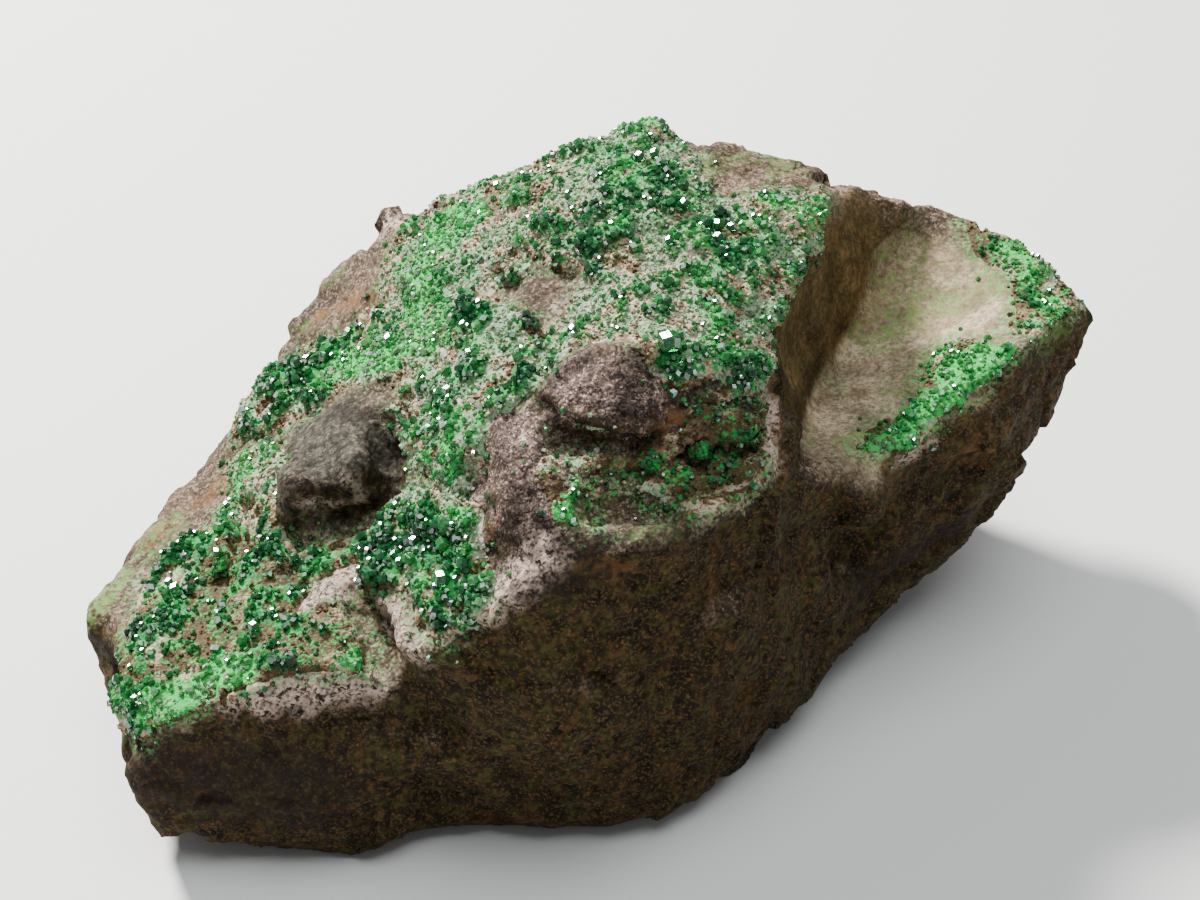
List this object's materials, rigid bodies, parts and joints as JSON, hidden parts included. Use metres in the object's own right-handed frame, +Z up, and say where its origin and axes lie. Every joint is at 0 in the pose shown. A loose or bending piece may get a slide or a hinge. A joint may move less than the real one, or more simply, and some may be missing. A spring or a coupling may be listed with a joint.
{
  "type": "uvarovite garnet cluster",
  "caption": "Broken block of grey-brown chromite rock, its upper face crusted with druses of small emerald-green garnet crystals.",
  "frame": {"origin": "middle of the specimen's outline seen from above, on the flat underside it rests on", "axes": "+Z up from the underside to the peak, +X along the longest side, to the right when the low front-left lobe faces the viewer, so the front face looks towards -Y"},
  "size_m": [0.069, 0.0484, 0.0358],
  "materials": {
    "rock": "matt broken chromite rock, grey-brown with pinkish and white specks",
    "garnet": "glassy emerald-green crystal faces over a fine pale green granular base"
  },
  "bodies": {
    "root": {"matrix_rock": "rock", "garnet_crust_summit": "garnet", "garnet_crust_upper_left": "garnet", "garnet_crust_front_left": "garnet", "garnet_crust_centre": "garnet", "garnet_crust_hollow": "garnet", "garnet_crust_mound_foot": "garnet", "garnet_crust_right_ledge": "garnet", "garnet_crust_right_rim": "garnet"}
  },
  "joints": []
}
